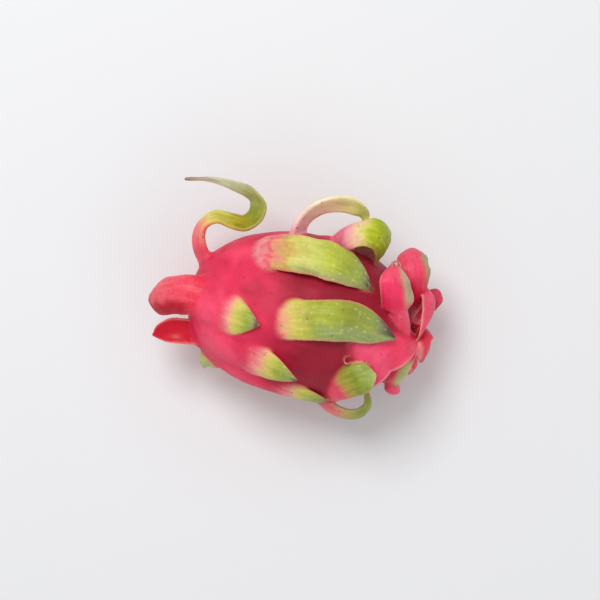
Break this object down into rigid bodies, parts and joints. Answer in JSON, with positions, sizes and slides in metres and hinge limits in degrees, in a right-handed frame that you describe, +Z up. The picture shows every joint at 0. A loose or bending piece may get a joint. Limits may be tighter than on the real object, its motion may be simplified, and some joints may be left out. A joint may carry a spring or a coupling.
{
  "type": "dragon fruit",
  "caption": "Oblong fruit with a leathery pink rind and long curling scales that turn green towards their tips, lying on its side on a small flat spot.",
  "frame": {"origin": "centre of the small flat spot under the rind, on the surface the fruit rests on", "axes": "+X along the fruit from stem end to navel (flower end), +Z up, +Y across towards the side with the long strap-like scale"},
  "size_m": [0.1379, 0.1034, 0.0805],
  "materials": {
    "rind": "waxy, semi-gloss; pink rind, scales pink at the foot, yellow-green along the blade and dried brown at the tip"
  },
  "bodies": {
    "root": {"dragon_fruit": "rind"}
  },
  "joints": []
}
